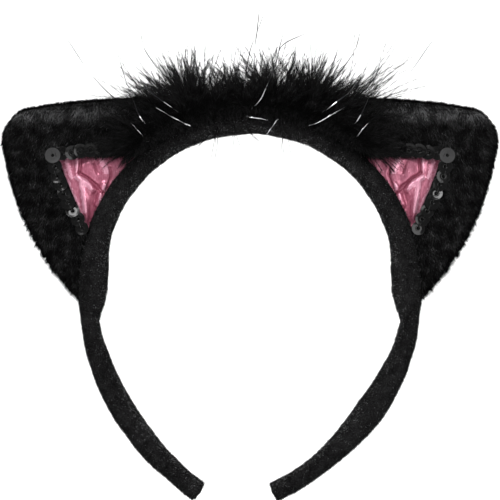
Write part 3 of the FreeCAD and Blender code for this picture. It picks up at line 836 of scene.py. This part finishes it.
# Creases of the right-hand lining: a path, its half-width, and how deep it sinks
# (a negative depth is a ridge).
CREASES = (
    (((65.0, 48.2), (72.0, 47.0)), 0.5, -0.55),
    (((72.0, 46.0), (68.6, 36.4), (63.6, 25.6)), 0.9, -0.25),
    (((64.9, 50.6), (64.2, 46.0), (64.6, 41.6)), 0.55, 0.75),
    (((65.9, 49.0), (65.6, 45.5), (65.7, 42.0)), 0.8, -0.35),
    (((64.8, 41.4), (61.6, 39.6), (58.2, 36.6), (55.6, 33.8)), 0.5, 1.15),
    (((65.2, 39.9), (61.9, 37.6), (59.2, 35.0)), 1.1, -0.75),
    (((58.4, 36.0), (59.6, 29.6), (60.7, 23.0)), 1.7, 0.85),
    (((53.0, 43.6), (52.6, 40.5), (54.4, 35.4)), 0.45, 0.6),
    (((59.2, 45.4), (58.0, 41.6)), 0.7, 0.45),
    (((55.2, 36.9), (58.4, 29.6)), 0.9, -0.5),
    (((63.9, 37.2), (62.9, 30.0), (61.6, 24.6)), 1.1, -0.45),
    (((56.4, 46.8), (54.6, 42.2)), 1.2, -0.4),
    (((69.8, 45.8), (67.6, 39.6)), 1.0, -0.3),
)


def path_distance(spots, path):
    """Each spot's distance to a path through points."""
    path = np.array(path, float)
    return distance_to(spots, path[:-1], path[1:])


def crease_relief(spots):
    """How far the satin sinks along its creases; ridges count below zero."""
    relief = np.zeros(len(spots))
    for path, width, sink in CREASES:
        relief += sink * np.exp(-(path_distance(spots, path) / width) ** 2)
    return relief


def satin_painted_light(spots):
    """Painted light on the satin at each spot: painted shade deep in the folds, painted highlight pale
    on the ridges.
    """
    points = np.stack([spots[:, 0], np.zeros(len(spots)), spots[:, 1]], axis=1)
    uneven = 0.16 * smooth_noise(points, 2.4, 33.0) + rng.normal(scale=0.05, size=len(spots))
    return 2 - np.digitize(crease_relief(spots) + uneven, (-0.2, 0.3))


def lining_front(spots):
    """Depth of the satin: it puffs out of the window and sinks along its creases."""
    window = distance_to(spots, *WINDOW_SIDES)
    within = inside(spots, WINDOW)
    puff = 1.15 * (1 - np.exp(-window / 2.6)) * within
    depth = LINING_DEPTH + 0.25 - puff + 1.35 * crease_relief(spots)
    points = np.stack([spots[:, 0], np.zeros(len(spots)), spots[:, 1]], axis=1)
    apex = np.arctan2(spots[:, 0] - 60.5, spots[:, 1] - 14.0)
    gathers = np.sin(apex * 34 + 2.2 * smooth_noise(points, 9.0, 1.0))
    depth = depth + 0.13 * gathers + 0.34 * smooth_noise(points, 4.2, 21.0)
    return np.clip(depth, -3.3, -0.72)


def make_linings():
    """Gathered satin in both ear windows."""
    foot = polar(LINING_BASE, LINING_FOOT)
    top = polar(LINING_BASE, LINING_TOP)
    base = polar(LINING_BASE, np.linspace(LINING_TOP, LINING_FOOT, 60))[:-1]
    loop = np.concatenate([
        bowed(foot, LINING_CORNER, 0.0, 50), bowed(LINING_CORNER, top, 0.0, 50), base,
    ])
    spots, faces = cloth_region(loop, 0.42, everywhere)
    front = lining_front(spots)
    cloth = closed_cloth(spots, faces, front, front + 0.16)
    # Painted shade in the creases and painted highlight on the ridges of the front faces; the rest is
    # plain pink.
    painted_light_picks = np.ones(len(cloth[1]), int)
    painted_light_picks[:len(faces)] = satin_painted_light(spots[faces].mean(axis=1))
    for name, side in SIDES.items():
        lining = make_piece(f"satin_lining_{name}", *mirrored(*cloth, side), SATIN,
                            "pink_satin", painted_light_picks)
        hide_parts(f"{name}_ear_satin_lining")
        ear_blend(lining)


make_linings()


# --- sequins ----------------------------------------------------------------------------

CHAIN = ((63.3, 20.4), (68.7, 30.4), (73.0, 40.0), (74.7, 47.9), (46.0, 52.4))
SEQUIN_PITCH = 3.5
SEQUIN_DEPTH = -4.75
SEQUIN_AROUND = 28


def sequin(middle, facing, radius, spin):
    """Cupped sequin with a centre hole and a pressed ring."""
    facing = unit(np.array(facing, float))
    first = unit(np.cross(facing, (0.0, 0.3, 1.0)))
    second = np.cross(facing, first)
    profile = ((0.19, 0.0), (0.36, 0.0), (0.42, -0.015), (0.70, 0.015), (0.96, 0.07), (1.0, 0.075))
    turns = spin + np.arange(SEQUIN_AROUND) * 2 * math.pi / SEQUIN_AROUND
    rings = []
    for share, rise in profile:
        rings.append((share * radius, rise * radius))
    rings += [(reach, rise - 0.10) for reach, rise in reversed(rings)]
    points = []
    for reach, rise in rings:
        circle = first * np.cos(turns)[:, None] + second * np.sin(turns)[:, None]
        points.append(middle + circle * reach + facing * rise)
    points = np.concatenate(points)
    faces = []
    for ring in range(len(rings)):
        low, high = ring * SEQUIN_AROUND, (ring + 1) % len(rings) * SEQUIN_AROUND
        for step in range(SEQUIN_AROUND):
            following = (step + 1) % SEQUIN_AROUND
            faces.append((low + step, low + following, high + following, high + step))
    return points, faces


def chain_places():
    """Sequin middles and the chain's direction at each."""
    places = []
    corners = np.array(CHAIN)
    for index, (start, end) in enumerate(zip(corners, corners[1:])):
        run = end - start
        steps = round(np.linalg.norm(run) / SEQUIN_PITCH)
        for step in range(1 if index else 0, steps + 1):
            places.append((start + run * step / steps, unit(run)))
    return places


def make_sequins():
    """Sequin chain and its thread on both ears."""
    discs, threads, painted_reflection_flags = [], [], []
    for spot, run in chain_places():
        wobble = rng.normal(scale=0.10, size=3)
        at_corner = np.linalg.norm(spot - np.array(CHAIN[-2])) < 0.1
        lift = 0.12 if at_corner else 0.0
        tilt = 0.0 if at_corner else 0.14 + 0.06 * rng.normal()
        facing = np.array([run[0] * tilt, -1.0, run[1] * tilt + lift]) + wobble
        radius = 2.95 if at_corner else 2.65 + 0.12 * rng.uniform(-1, 1)
        shift = rng.normal(scale=0.18, size=2)
        middle = np.array([spot[0] + shift[0], SEQUIN_DEPTH - 0.5 * at_corner, spot[1] + shift[1]])
        discs.append(sequin(middle, facing, radius, rng.uniform(0, 6)))
        painted_reflection_flags.append(at_corner)
        stitch = np.array([middle + (0, 1.2, 0), middle + (0, -0.12, 0), middle + (0.3, -0.42, 0.1),
                           middle + (run[0] * 1.9, -0.40, run[1] * 1.9),
                           middle + (run[0] * 2.9, 0.5, run[1] * 2.9)])
        threads.append(tube(stitch, 0.09, 5))
    # The corner sequin gets the painted reflection.
    picks = np.repeat(painted_reflection_flags, len(discs[0][1])).astype(int)
    discs, threads = merged(discs), merged(threads)
    for name, side in SIDES.items():
        chain = make_piece(f"sequins_{name}", *mirrored(np.array(discs[0]), discs[1], side),
                           [SEQUIN, SEQUIN_PAINTED_REFLECTION], "black_sequin", picks)
        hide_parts(f"{name}_ear_sequins")
        ear_blend(chain)
        thread = make_piece(f"sequin_thread_{name}", *mirrored(np.array(threads[0]), threads[1], side),
                            [THREAD], "black_thread")
        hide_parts(f"{name}_ear_sequin_thread")
        ear_blend(thread)


make_sequins()


# --- tacking ----------------------------------------------------------------------------

def make_tacking():
    """Short stitches that hold the ears' lower edges in the band, front and rear."""
    parts = []
    for angle in np.radians(np.arange(0.0, 59.0, 4.0)):
        for depth in (-3.75, 4.15):
            turns = angle + np.linspace(-0.010, 0.010, 7)
            spots = polar(np.linspace(64.1, 64.9, 7)[:, None], turns)
            bulge = np.sign(depth) * 0.12 * np.sin(np.linspace(0, math.pi, 7))
            parts.append(tube(np.stack([spots[:, 0], depth + bulge, spots[:, 1]], axis=1), 0.12, 6))
    points, faces = merged(parts)
    for name, side in SIDES.items():
        tacking = make_piece(f"tacking_{name}", *mirrored(np.array(points), faces, side), [THREAD],
                             "black_thread")
        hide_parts(f"{name}_ear_tack_stitches")
        ear_blend(tacking)


make_tacking()


# --- marabou ------------------------------------------------------------------------------

CORD_ORBIT = 66.3
TRIM_SPAN = math.radians(38)
CROWN_SPAN = math.radians(19)
END_SPAN = math.radians(29.5)

# Clumps of down: angle of the root on the band, lean from upright and half of the fan
# (degrees), reach (millimetres), share of the plumes, and tip towards the rear (degrees).
END_CLUMPS = np.array([
    (20.5, 26.0, 32.0, 24.0, 2.6, 0.0),
    (27.0, 50.0, 24.0, 21.0, 1.4, 0.0),
    (32.0, 64.0, 18.0, 22.0, 0.9, 14.0),
    (35.0, 72.0, 22.0, 21.0, 1.0, -16.0),
    (37.0, 98.0, 30.0, 19.0, 0.8, -22.0),
])
MIDDLE_CLUMPS = np.array([
    (-15.0, -4.0, 16.0, 20.0, 1.1, 0.0),
    (-9.5, 8.0, 24.0, 15.0, 0.8, 0.0),
    (-4.0, -2.0, 26.0, 18.0, 0.9, 0.0),
    (1.0, 2.0, 16.0, 13.0, 0.6, 0.0),
    (5.5, -3.0, 11.0, 22.0, 1.6, 0.0),
    (9.5, 10.0, 14.0, 21.0, 1.3, 0.0),
    (14.5, 6.0, 16.0, 19.0, 1.0, 0.0),
])
# The outer clumps are alike on both sides: the left ones swap the sign of place and lean.
TO_LEFT = np.array([-1, -1, 1, 1, 1, 1])
CLUMPS = np.concatenate([END_CLUMPS[::-1] * TO_LEFT, MIDDLE_CLUMPS, END_CLUMPS])
# The short down shrinks and grows with the clumps' lengths, against this one.
CLUMP_REACH = 23

# Long plumes that reach over the ears' top edges, in the same terms.
WISPS = np.array([
    (-24.0, -62.0, 12.0, 36.0, 0.9, 0.0),
    (24.0, 61.0, 13.0, 39.0, 1.3, 0.0),
])

# A plume reaches at most PLUME_DEPTH forward or backward of its root. Over an ear it is rooted
# CLEAR_OF_EAR in front of the ear's middle plane or behind it.
PLUME_DEPTH = 15.0
HEART_SPAN = math.radians(26.5)
CLEAR_OF_EAR = 5.4
HEART_STEPS = 26
HEART_AROUND = 16
STRAY_COPIES = 3
PLUME_BARBS, PLUME_BARB_WIDTH = 130, 0.08
SKIRT_BARBS, SKIRT_BARB_WIDTH = 90, 0.09
SKIRT_SHARE = 0.6


def trim_places(angle):
    """Places on the cord with the outward and along directions there."""
    out = np.stack([np.sin(angle), np.zeros_like(angle), np.cos(angle)], axis=1)
    along = np.stack([np.cos(angle), np.zeros_like(angle), -np.sin(angle)], axis=1)
    return out * CORD_ORBIT, out, along


def upright(lean, depth):
    """Directions that lean sideways and tip backward by some angles."""
    return np.stack([np.sin(lean) * np.cos(depth), np.sin(depth), np.cos(lean) * np.cos(depth)], axis=1)


def plume_field(count, low, high):
    """Plumes of the clumps between two angles: roots, reaches and bends."""
    clumps = np.concatenate([CLUMPS, WISPS])
    middles = np.radians(clumps[:, 0])
    near = clumps[(middles > low - 0.03) & (middles < high + 0.03)]
    clump = near[rng.choice(len(near), count, p=near[:, 4] / near[:, 4].sum())]
    angle = np.clip(np.radians(clump[:, 0] + rng.normal(scale=2.3, size=count)), low, high)
    offset = rng.uniform(-1, 1, count) + rng.normal(scale=0.25, size=count)
    lean = np.radians(clump[:, 1] + clump[:, 2] * offset)
    over_ear = np.abs(angle) > HEART_SPAN
    depth = rng.normal(scale=np.radians(np.where(over_ear, 8, 26))) + np.radians(clump[:, 5])
    length = clump[:, 3] * rng.uniform(0.5, 1.12, count) * np.cos(depth) ** 0.4
    steepest = np.arcsin(np.minimum(PLUME_DEPTH / length, 1))
    depth = np.clip(depth, -steepest, steepest)
    roots, _, _ = trim_places(angle)
    roots[:, 1] = np.where(over_ear, np.where(clump[:, 5] > 0, CLEAR_OF_EAR, -CLEAR_OF_EAR), 0)
    reaches = upright(lean, depth) * length[:, None]
    sweep = np.sign(clump[:, 1]) * 0.12 + 0.20 * offset + rng.normal(scale=0.12, size=count)
    sideways = np.stack([np.cos(lean), np.zeros(count), -np.sin(lean)], axis=1)
    curl = rng.normal(scale=0.06, size=(count, 3))
    bends = sideways * (sweep * length)[:, None] + curl * length[:, None]
    return roots, reaches, bends


def skirt_field(count, low, high):
    """Short plumes that fall forward and backward over the band's edges."""
    angle = rng.uniform(low, high, count)
    roots, out, along = trim_places(angle)
    face = rng.choice((-1.0, 1.0), count, p=(0.62, 0.38))[:, None]
    reach = rng.uniform(6.0, 9.5, count)[:, None]
    over_ear = np.abs(angle)[:, None] > HEART_SPAN
    roots = roots + over_ear * face * np.array([[0, CLEAR_OF_EAR, 0]])
    aims = face * np.array([[0, 1.0, 0]]) + out * rng.uniform(0.0, 0.6, (count, 1)) \
        + along * rng.normal(scale=0.45, size=(count, 1))
    spread = np.clip((np.abs(angle)[:, None] - 0.35) / 0.2, 0, 1)
    drop = out * reach * (0.62 - 0.15 * spread)
    return roots, unit(aims) * reach, -drop


def make_down(name, field, barbs, width):
    """Plumes of down: curved shafts, each with fine barbs all along it."""
    roots, reaches, bends = field
    count = len(roots)
    lengths = np.linalg.norm(reaches, axis=1)
    picks = rng.choice(2, count, p=(0.6, 0.4))
    shafts = fibres(f"down_shafts_{name}", roots, reaches, lengths, 0.17, picks, DOWN,
                    "marabou_down", bends, 4)
    owner = np.repeat(np.arange(count), barbs)
    share = rng.uniform(0.05, 1.0, len(owner)) ** 0.85
    spots = roots[owner] + reaches[owner] * share[:, None] + bends[owner] * (share ** 2)[:, None]
    forward = unit(reaches[owner] + 2 * bends[owner] * share[:, None])
    splay = (0.75 - 0.5 * share) * rng.uniform(0.5, 1.3, len(owner))
    aims = across(forward) * splay[:, None] + forward * 0.8
    size = (1.6 + 2.6 * np.sin(np.pi * share ** 0.7)) * rng.uniform(0.5, 1.25, len(owner))
    picks = np.digitize(rng.uniform(0, 1, len(owner)) + 0.30 * share, (0.5, 1.0))
    down = fibres(f"down_{name}", spots, aims, size, width, picks, DOWN, "marabou_down", None, 0)
    return shafts, down


def hold_trim(piece, over_ear):
    """Bakes a trim piece's placement: through ear_blend over an ear and flex_blend elsewhere."""
    if over_ear:
        ear_blend(piece)
    else:
        flex_blend(piece)


def make_heart(name, low, high):
    """Dense short down round the cord, so that no light comes through."""
    angle = np.linspace(max(low, -HEART_SPAN), min(high, HEART_SPAN), HEART_STEPS)
    spine, out, _ = trim_places(angle)
    taper = np.interp(np.abs(angle), (0, HEART_SPAN * 0.8, HEART_SPAN), (2.8, 2.6, 0.9))
    points, faces = tube(spine + out * 0.6, taper, HEART_AROUND)
    swell = 0.35 * smooth_noise(points, 2.2)[:, None]
    points = points + unit(points - np.repeat(spine, HEART_AROUND, axis=0)) * swell
    heart = make_piece(f"down_heart_{name}", points, faces, [DOWN[0]], "marabou_down")
    hold_trim(heart, False)
    return heart


def make_short_down(name, count, low, high):
    """Short barbs that fill the trim between its plumes."""
    angle = rng.uniform(low, high, count)
    roots, out, along = trim_places(angle)
    over_ear = np.abs(angle) > HEART_SPAN
    fan = rng.uniform(-2.0, 2.0, count)
    roots[:, 1] = over_ear * np.sign(fan) * (CLEAR_OF_EAR - 0.6)
    fan = np.where(over_ear, np.sign(fan) * (0.6 + 0.4 * np.abs(fan)), fan)[:, None]
    stray = along * (rng.normal(scale=0.5, size=count) + 0.5 * over_ear * np.sign(angle))[:, None]
    aims = unit(out * np.cos(fan) + np.array([[0, 1.0, 0]]) * np.sin(fan) + stray)
    reach = np.interp(angle, np.radians(CLUMPS[:, 0]), CLUMPS[:, 3]) / CLUMP_REACH
    lengths = rng.uniform(4.0, 10.5, count) * (0.3 + 0.7 * reach)
    bends = across(aims) * (0.3 * lengths)[:, None]
    picks = rng.choice(2, count, p=(0.75, 0.25))
    return fibres(f"down_short_{name}", roots + aims * 1.5, aims, lengths, 0.2, picks,
                  DOWN, "marabou_down", bends, 1)


# Long single hairs of the right half: root (x, y, z) and tip; mirrored where marked.
STRAYS = (
    ((12.8, -7.0, 58.5), (13.2, -8.5, 46.2), True),
    ((14.2, -7.0, 57.5), (20.6, -8.5, 51.0), True),
    ((-6.5, -7.0, 59.5), (-3.2, -8.0, 49.2), False),
    ((-2.4, -7.0, 58.5), (4.1, -8.0, 52.8), False),
    ((21.5, -3.0, 67.0), (22.9, -3.0, 92.6), True),
    ((24.0, -3.0, 66.0), (33.4, -4.0, 88.8), True),
    ((25.0, -4.0, 66.0), (36.8, -4.0, 84.0), True),
    ((27.0, -4.0, 65.0), (44.0, -5.0, 79.4), True),
    ((26.0, -4.0, 63.0), (43.6, -8.0, 71.6), True),
    ((-8.5, -2.0, 67.0), (-5.4, -3.0, 92.8), False),
    ((-7.5, -2.0, 67.0), (-3.4, -3.0, 90.8), False),
    ((3.5, -3.0, 68.0), (5.6, -3.0, 88.6), False),
    ((12.5, -2.0, 68.0), (17.6, -3.0, 91.0), False),
    ((-15.0, -2.0, 67.0), (-9.0, -3.0, 84.0), False),
    ((31.0, -6.0, 62.0), (47.0, -9.0, 62.2), True),
    ((34.0, -7.0, 56.0), (45.2, -8.0, 50.4), True),
)


def make_strays():
    """Long single hairs that stand clear of the down, in strands of three."""
    roots, tips = [], []
    for root, tip, twice in STRAYS:
        for side in ((1, -1) if twice else (1,)):
            roots.append(np.array(root) * (side, 1, 1))
            tips.append(np.array(tip) * (side, 1, 1))
    roots = np.repeat(roots, STRAY_COPIES, axis=0)
    tips = np.repeat(tips, STRAY_COPIES, axis=0)
    roots = roots + rng.normal(scale=0.5, size=roots.shape)
    tips = tips + rng.normal(scale=1.1, size=tips.shape)
    reaches = tips - roots
    lengths = np.linalg.norm(reaches, axis=1)
    bends = across(reaches) * (0.16 * lengths)[:, None]
    picks = rng.choice(2, len(roots), p=(0.4, 0.6))
    aims = reaches - bends
    for name, chosen in (("left", tips[:, 0] < 0), ("right", tips[:, 0] >= 0)):
        reach = np.linalg.norm(aims[chosen], axis=1)
        strays = fibres(f"down_strays_{name}", roots[chosen], aims[chosen], reach, 0.3,
                        picks[chosen], DOWN, "marabou_down", bends[chosen], 6)
        flex_blend(strays)


def make_marabou():
    """The whole trim: a crown stretch in halves, an end by each side and one over each ear."""
    few = 1.0
    stretches = (
        ("crown_left", -CROWN_SPAN, 0.0, "left", 350, 6000),
        ("crown_right", 0.0, CROWN_SPAN, "right", 350, 6000),
        ("left_end", -END_SPAN, -CROWN_SPAN, "left", 275, 3400),
        ("right_end", CROWN_SPAN, END_SPAN, "right", 290, 3400),
        ("over_left_ear", -TRIM_SPAN, -END_SPAN, "left", 145, 2600),
        ("over_right_ear", END_SPAN, TRIM_SPAN, "right", 145, 2600),
    )
    for name, low, high, side_name, count, short_count in stretches:
        over_ear = name.startswith("over")
        plumes = plume_field(int(count * few), low, high)
        pieces = make_down(name, plumes, PLUME_BARBS, PLUME_BARB_WIDTH)
        skirt = skirt_field(int(SKIRT_SHARE * count * few), low, high)
        pieces += make_down(f"skirt_{name}", skirt, SKIRT_BARBS, SKIRT_BARB_WIDTH)
        pieces += (make_short_down(name, int(short_count * few), low, high),)
        for piece in pieces:
            hold_trim(piece, over_ear)
        if not over_ear:
            heart = make_heart(name, low, high)
        if name == "crown_left":
            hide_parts("marabou_plumes")
    make_strays()


make_marabou()


# --- tinsel -------------------------------------------------------------------------------

# Tinsel strands of the right half: points (x, y, z) from root to tip; mirrored where marked.
STRANDS = (
    (((1.2, 0, 67.0), (1.8, -3, 86.0), (2.3, -5, 94.0), (4.1, -6, 107.0)), False),
    (((-3.0, 0, 67.0), (-1.0, -4, 82.0), (1.5, -6, 92.0), (5.0, -5, 101.0)), False),
    (((0.0, -5.5, 64.8), (4.8, -8, 70.3), (9.2, -8, 81.2), (13.3, -6, 96.6)), False),
    (((5.0, 0, 67.0), (9.5, -3, 82.0), (12.5, -5, 89.6), (20.9, -6, 93.8)), False),
    (((20.0, 2, 63.0), (31.5, 2, 76.0), (37.9, 0, 85.0), (40.2, 0, 89.0), (41.8, 0, 95.0)), True),
    (((36.5, -7, 57.0), (40.7, -11, 61.5), (43.9, -11, 68.0), (47.2, -9, 77.6), (49.4, -7, 84.2)), True),
    (((34.0, 5, 57.0), (49.0, 8, 68.0), (59.7, 5, 78.3), (70.3, 3, 93.1)), True),
    (((22.3, -8.5, 58.9), (26.0, -10, 60.4), (30.5, -11, 62.8), (35.5, -11, 65.9)), True),
    (((27.0, -8, 64.0), (30.4, -11, 66.2), (36.6, -11, 71.0), (42.0, -9, 76.8)), True),
    (((37.8, -8.5, 52.4), (39.6, -10, 54.4), (42.0, -11, 57.2), (44.7, -11, 60.0)), True),
    (((-1.4, -8.5, 62.6), (0.5, -9.5, 62.1), (4.0, -9.5, 61.6), (6.8, -9, 61.0)), False),
    (((6.3, -7.5, 55.8), (7.2, -8.5, 57.0), (8.4, -9, 58.4), (10.4, -9.5, 61.5)), False),
)
# Tinsel further than this from the origin is painted dark: a painted dark reflection where the silver
# foil stands above the trim.
DARK_BEYOND = 76


def curve_through(points, count):
    """Smooth path through the points (Catmull-Rom)."""
    points = np.array(points, float)
    padded = np.concatenate([[2 * points[0] - points[1]], points, [2 * points[-1] - points[-2]]])
    places = np.linspace(0, len(points) - 1.0001, count)
    rows = []
    for place in places:
        i, t = int(place), place % 1
        a, b, c, d = padded[i:i + 4]
        rows.append(0.5 * (2 * b + (c - a) * t + (2 * a - 5 * b + 4 * c - d) * t * t
                           + (3 * b - a - 3 * c + d) * t ** 3))
    return np.array(rows)


def foil(points, width, thickness, twist):
    """Closed flat ribbon along a path, turning as it goes."""
    along = unit(np.gradient(points, axis=0))
    first = unit(np.cross(along, (0.0, 1.0, 0.05)))
    second = np.cross(along, first)
    turns = np.linspace(twist[0], twist[1], len(points))[:, None]
    broad = first * np.cos(turns) + second * np.sin(turns)
    thin = second * np.cos(turns) - first * np.sin(turns)
    share = np.linspace(0, 1, len(points))
    wide = np.interp(share, (0, 0.85, 1), (width, width, width * 0.3))[:, None] / 2
    signs = ((1, 1), (-1, 1), (-1, -1), (1, -1))
    corners = [points + broad * wide * u + thin * thickness / 2 * v for u, v in signs]
    return loft_faces(np.stack(corners, axis=1))


def make_tinsel():
    """All the tinsel strands, one piece per half."""
    groups = {"left": [], "right": []}
    for points, twice in STRANDS:
        for side in ((1, -1) if twice else (1,)):
            path = curve_through(np.array(points) * (side, 1, 1), 36)
            path = path + 0.35 * np.stack([smooth_noise(path, 7.0, k * 13.0) for k in (1, 2, 3)], axis=1)
            start = rng.uniform(0, 3.1)
            half = "left" if path[-1][0] < 0 else "right"
            groups[half].append(foil(path, 0.34, 0.05, (start, start + rng.uniform(3, 8))))
    for half, parts in groups.items():
        points, faces = merged(parts)
        count = sum(len(part[1]) for part in parts)
        shades = np.zeros(count, int)
        position = 0
        for part in parts:
            ribbon = np.array(part[0])
            reaches = [np.linalg.norm(ribbon[list(face)].mean(axis=0)) for face in part[1]]
            # Painted dark reflection on the faces beyond DARK_BEYOND.
            shades[position:position + len(part[1])] = np.array(reaches) > DARK_BEYOND
            position += len(part[1])
        strands = make_piece(f"tinsel_{half}", points, faces, [TINSEL, TINSEL_PAINTED_DARK],
                             "silver_tinsel", shades)
        flex_blend(strands)
        if half == "right":
            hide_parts("tinsel_strands")


make_tinsel()


# --- materials on the CAD nodes that stay ----------------------------------------------

def paint(node, material):
    """Give a carried-over CAD node its material in every slot."""
    item = frame["nodes"][node]
    if not item.material_slots:
        item.data.materials.append(material)
    for spot in item.material_slots:
        spot.material = material


for name in ("crown", "left", "right"):
    paint(f"band_core_{name}", PLASTIC)
paint("marabou_cord", THREAD)
paint("marabou_tie_stitches", THREAD)
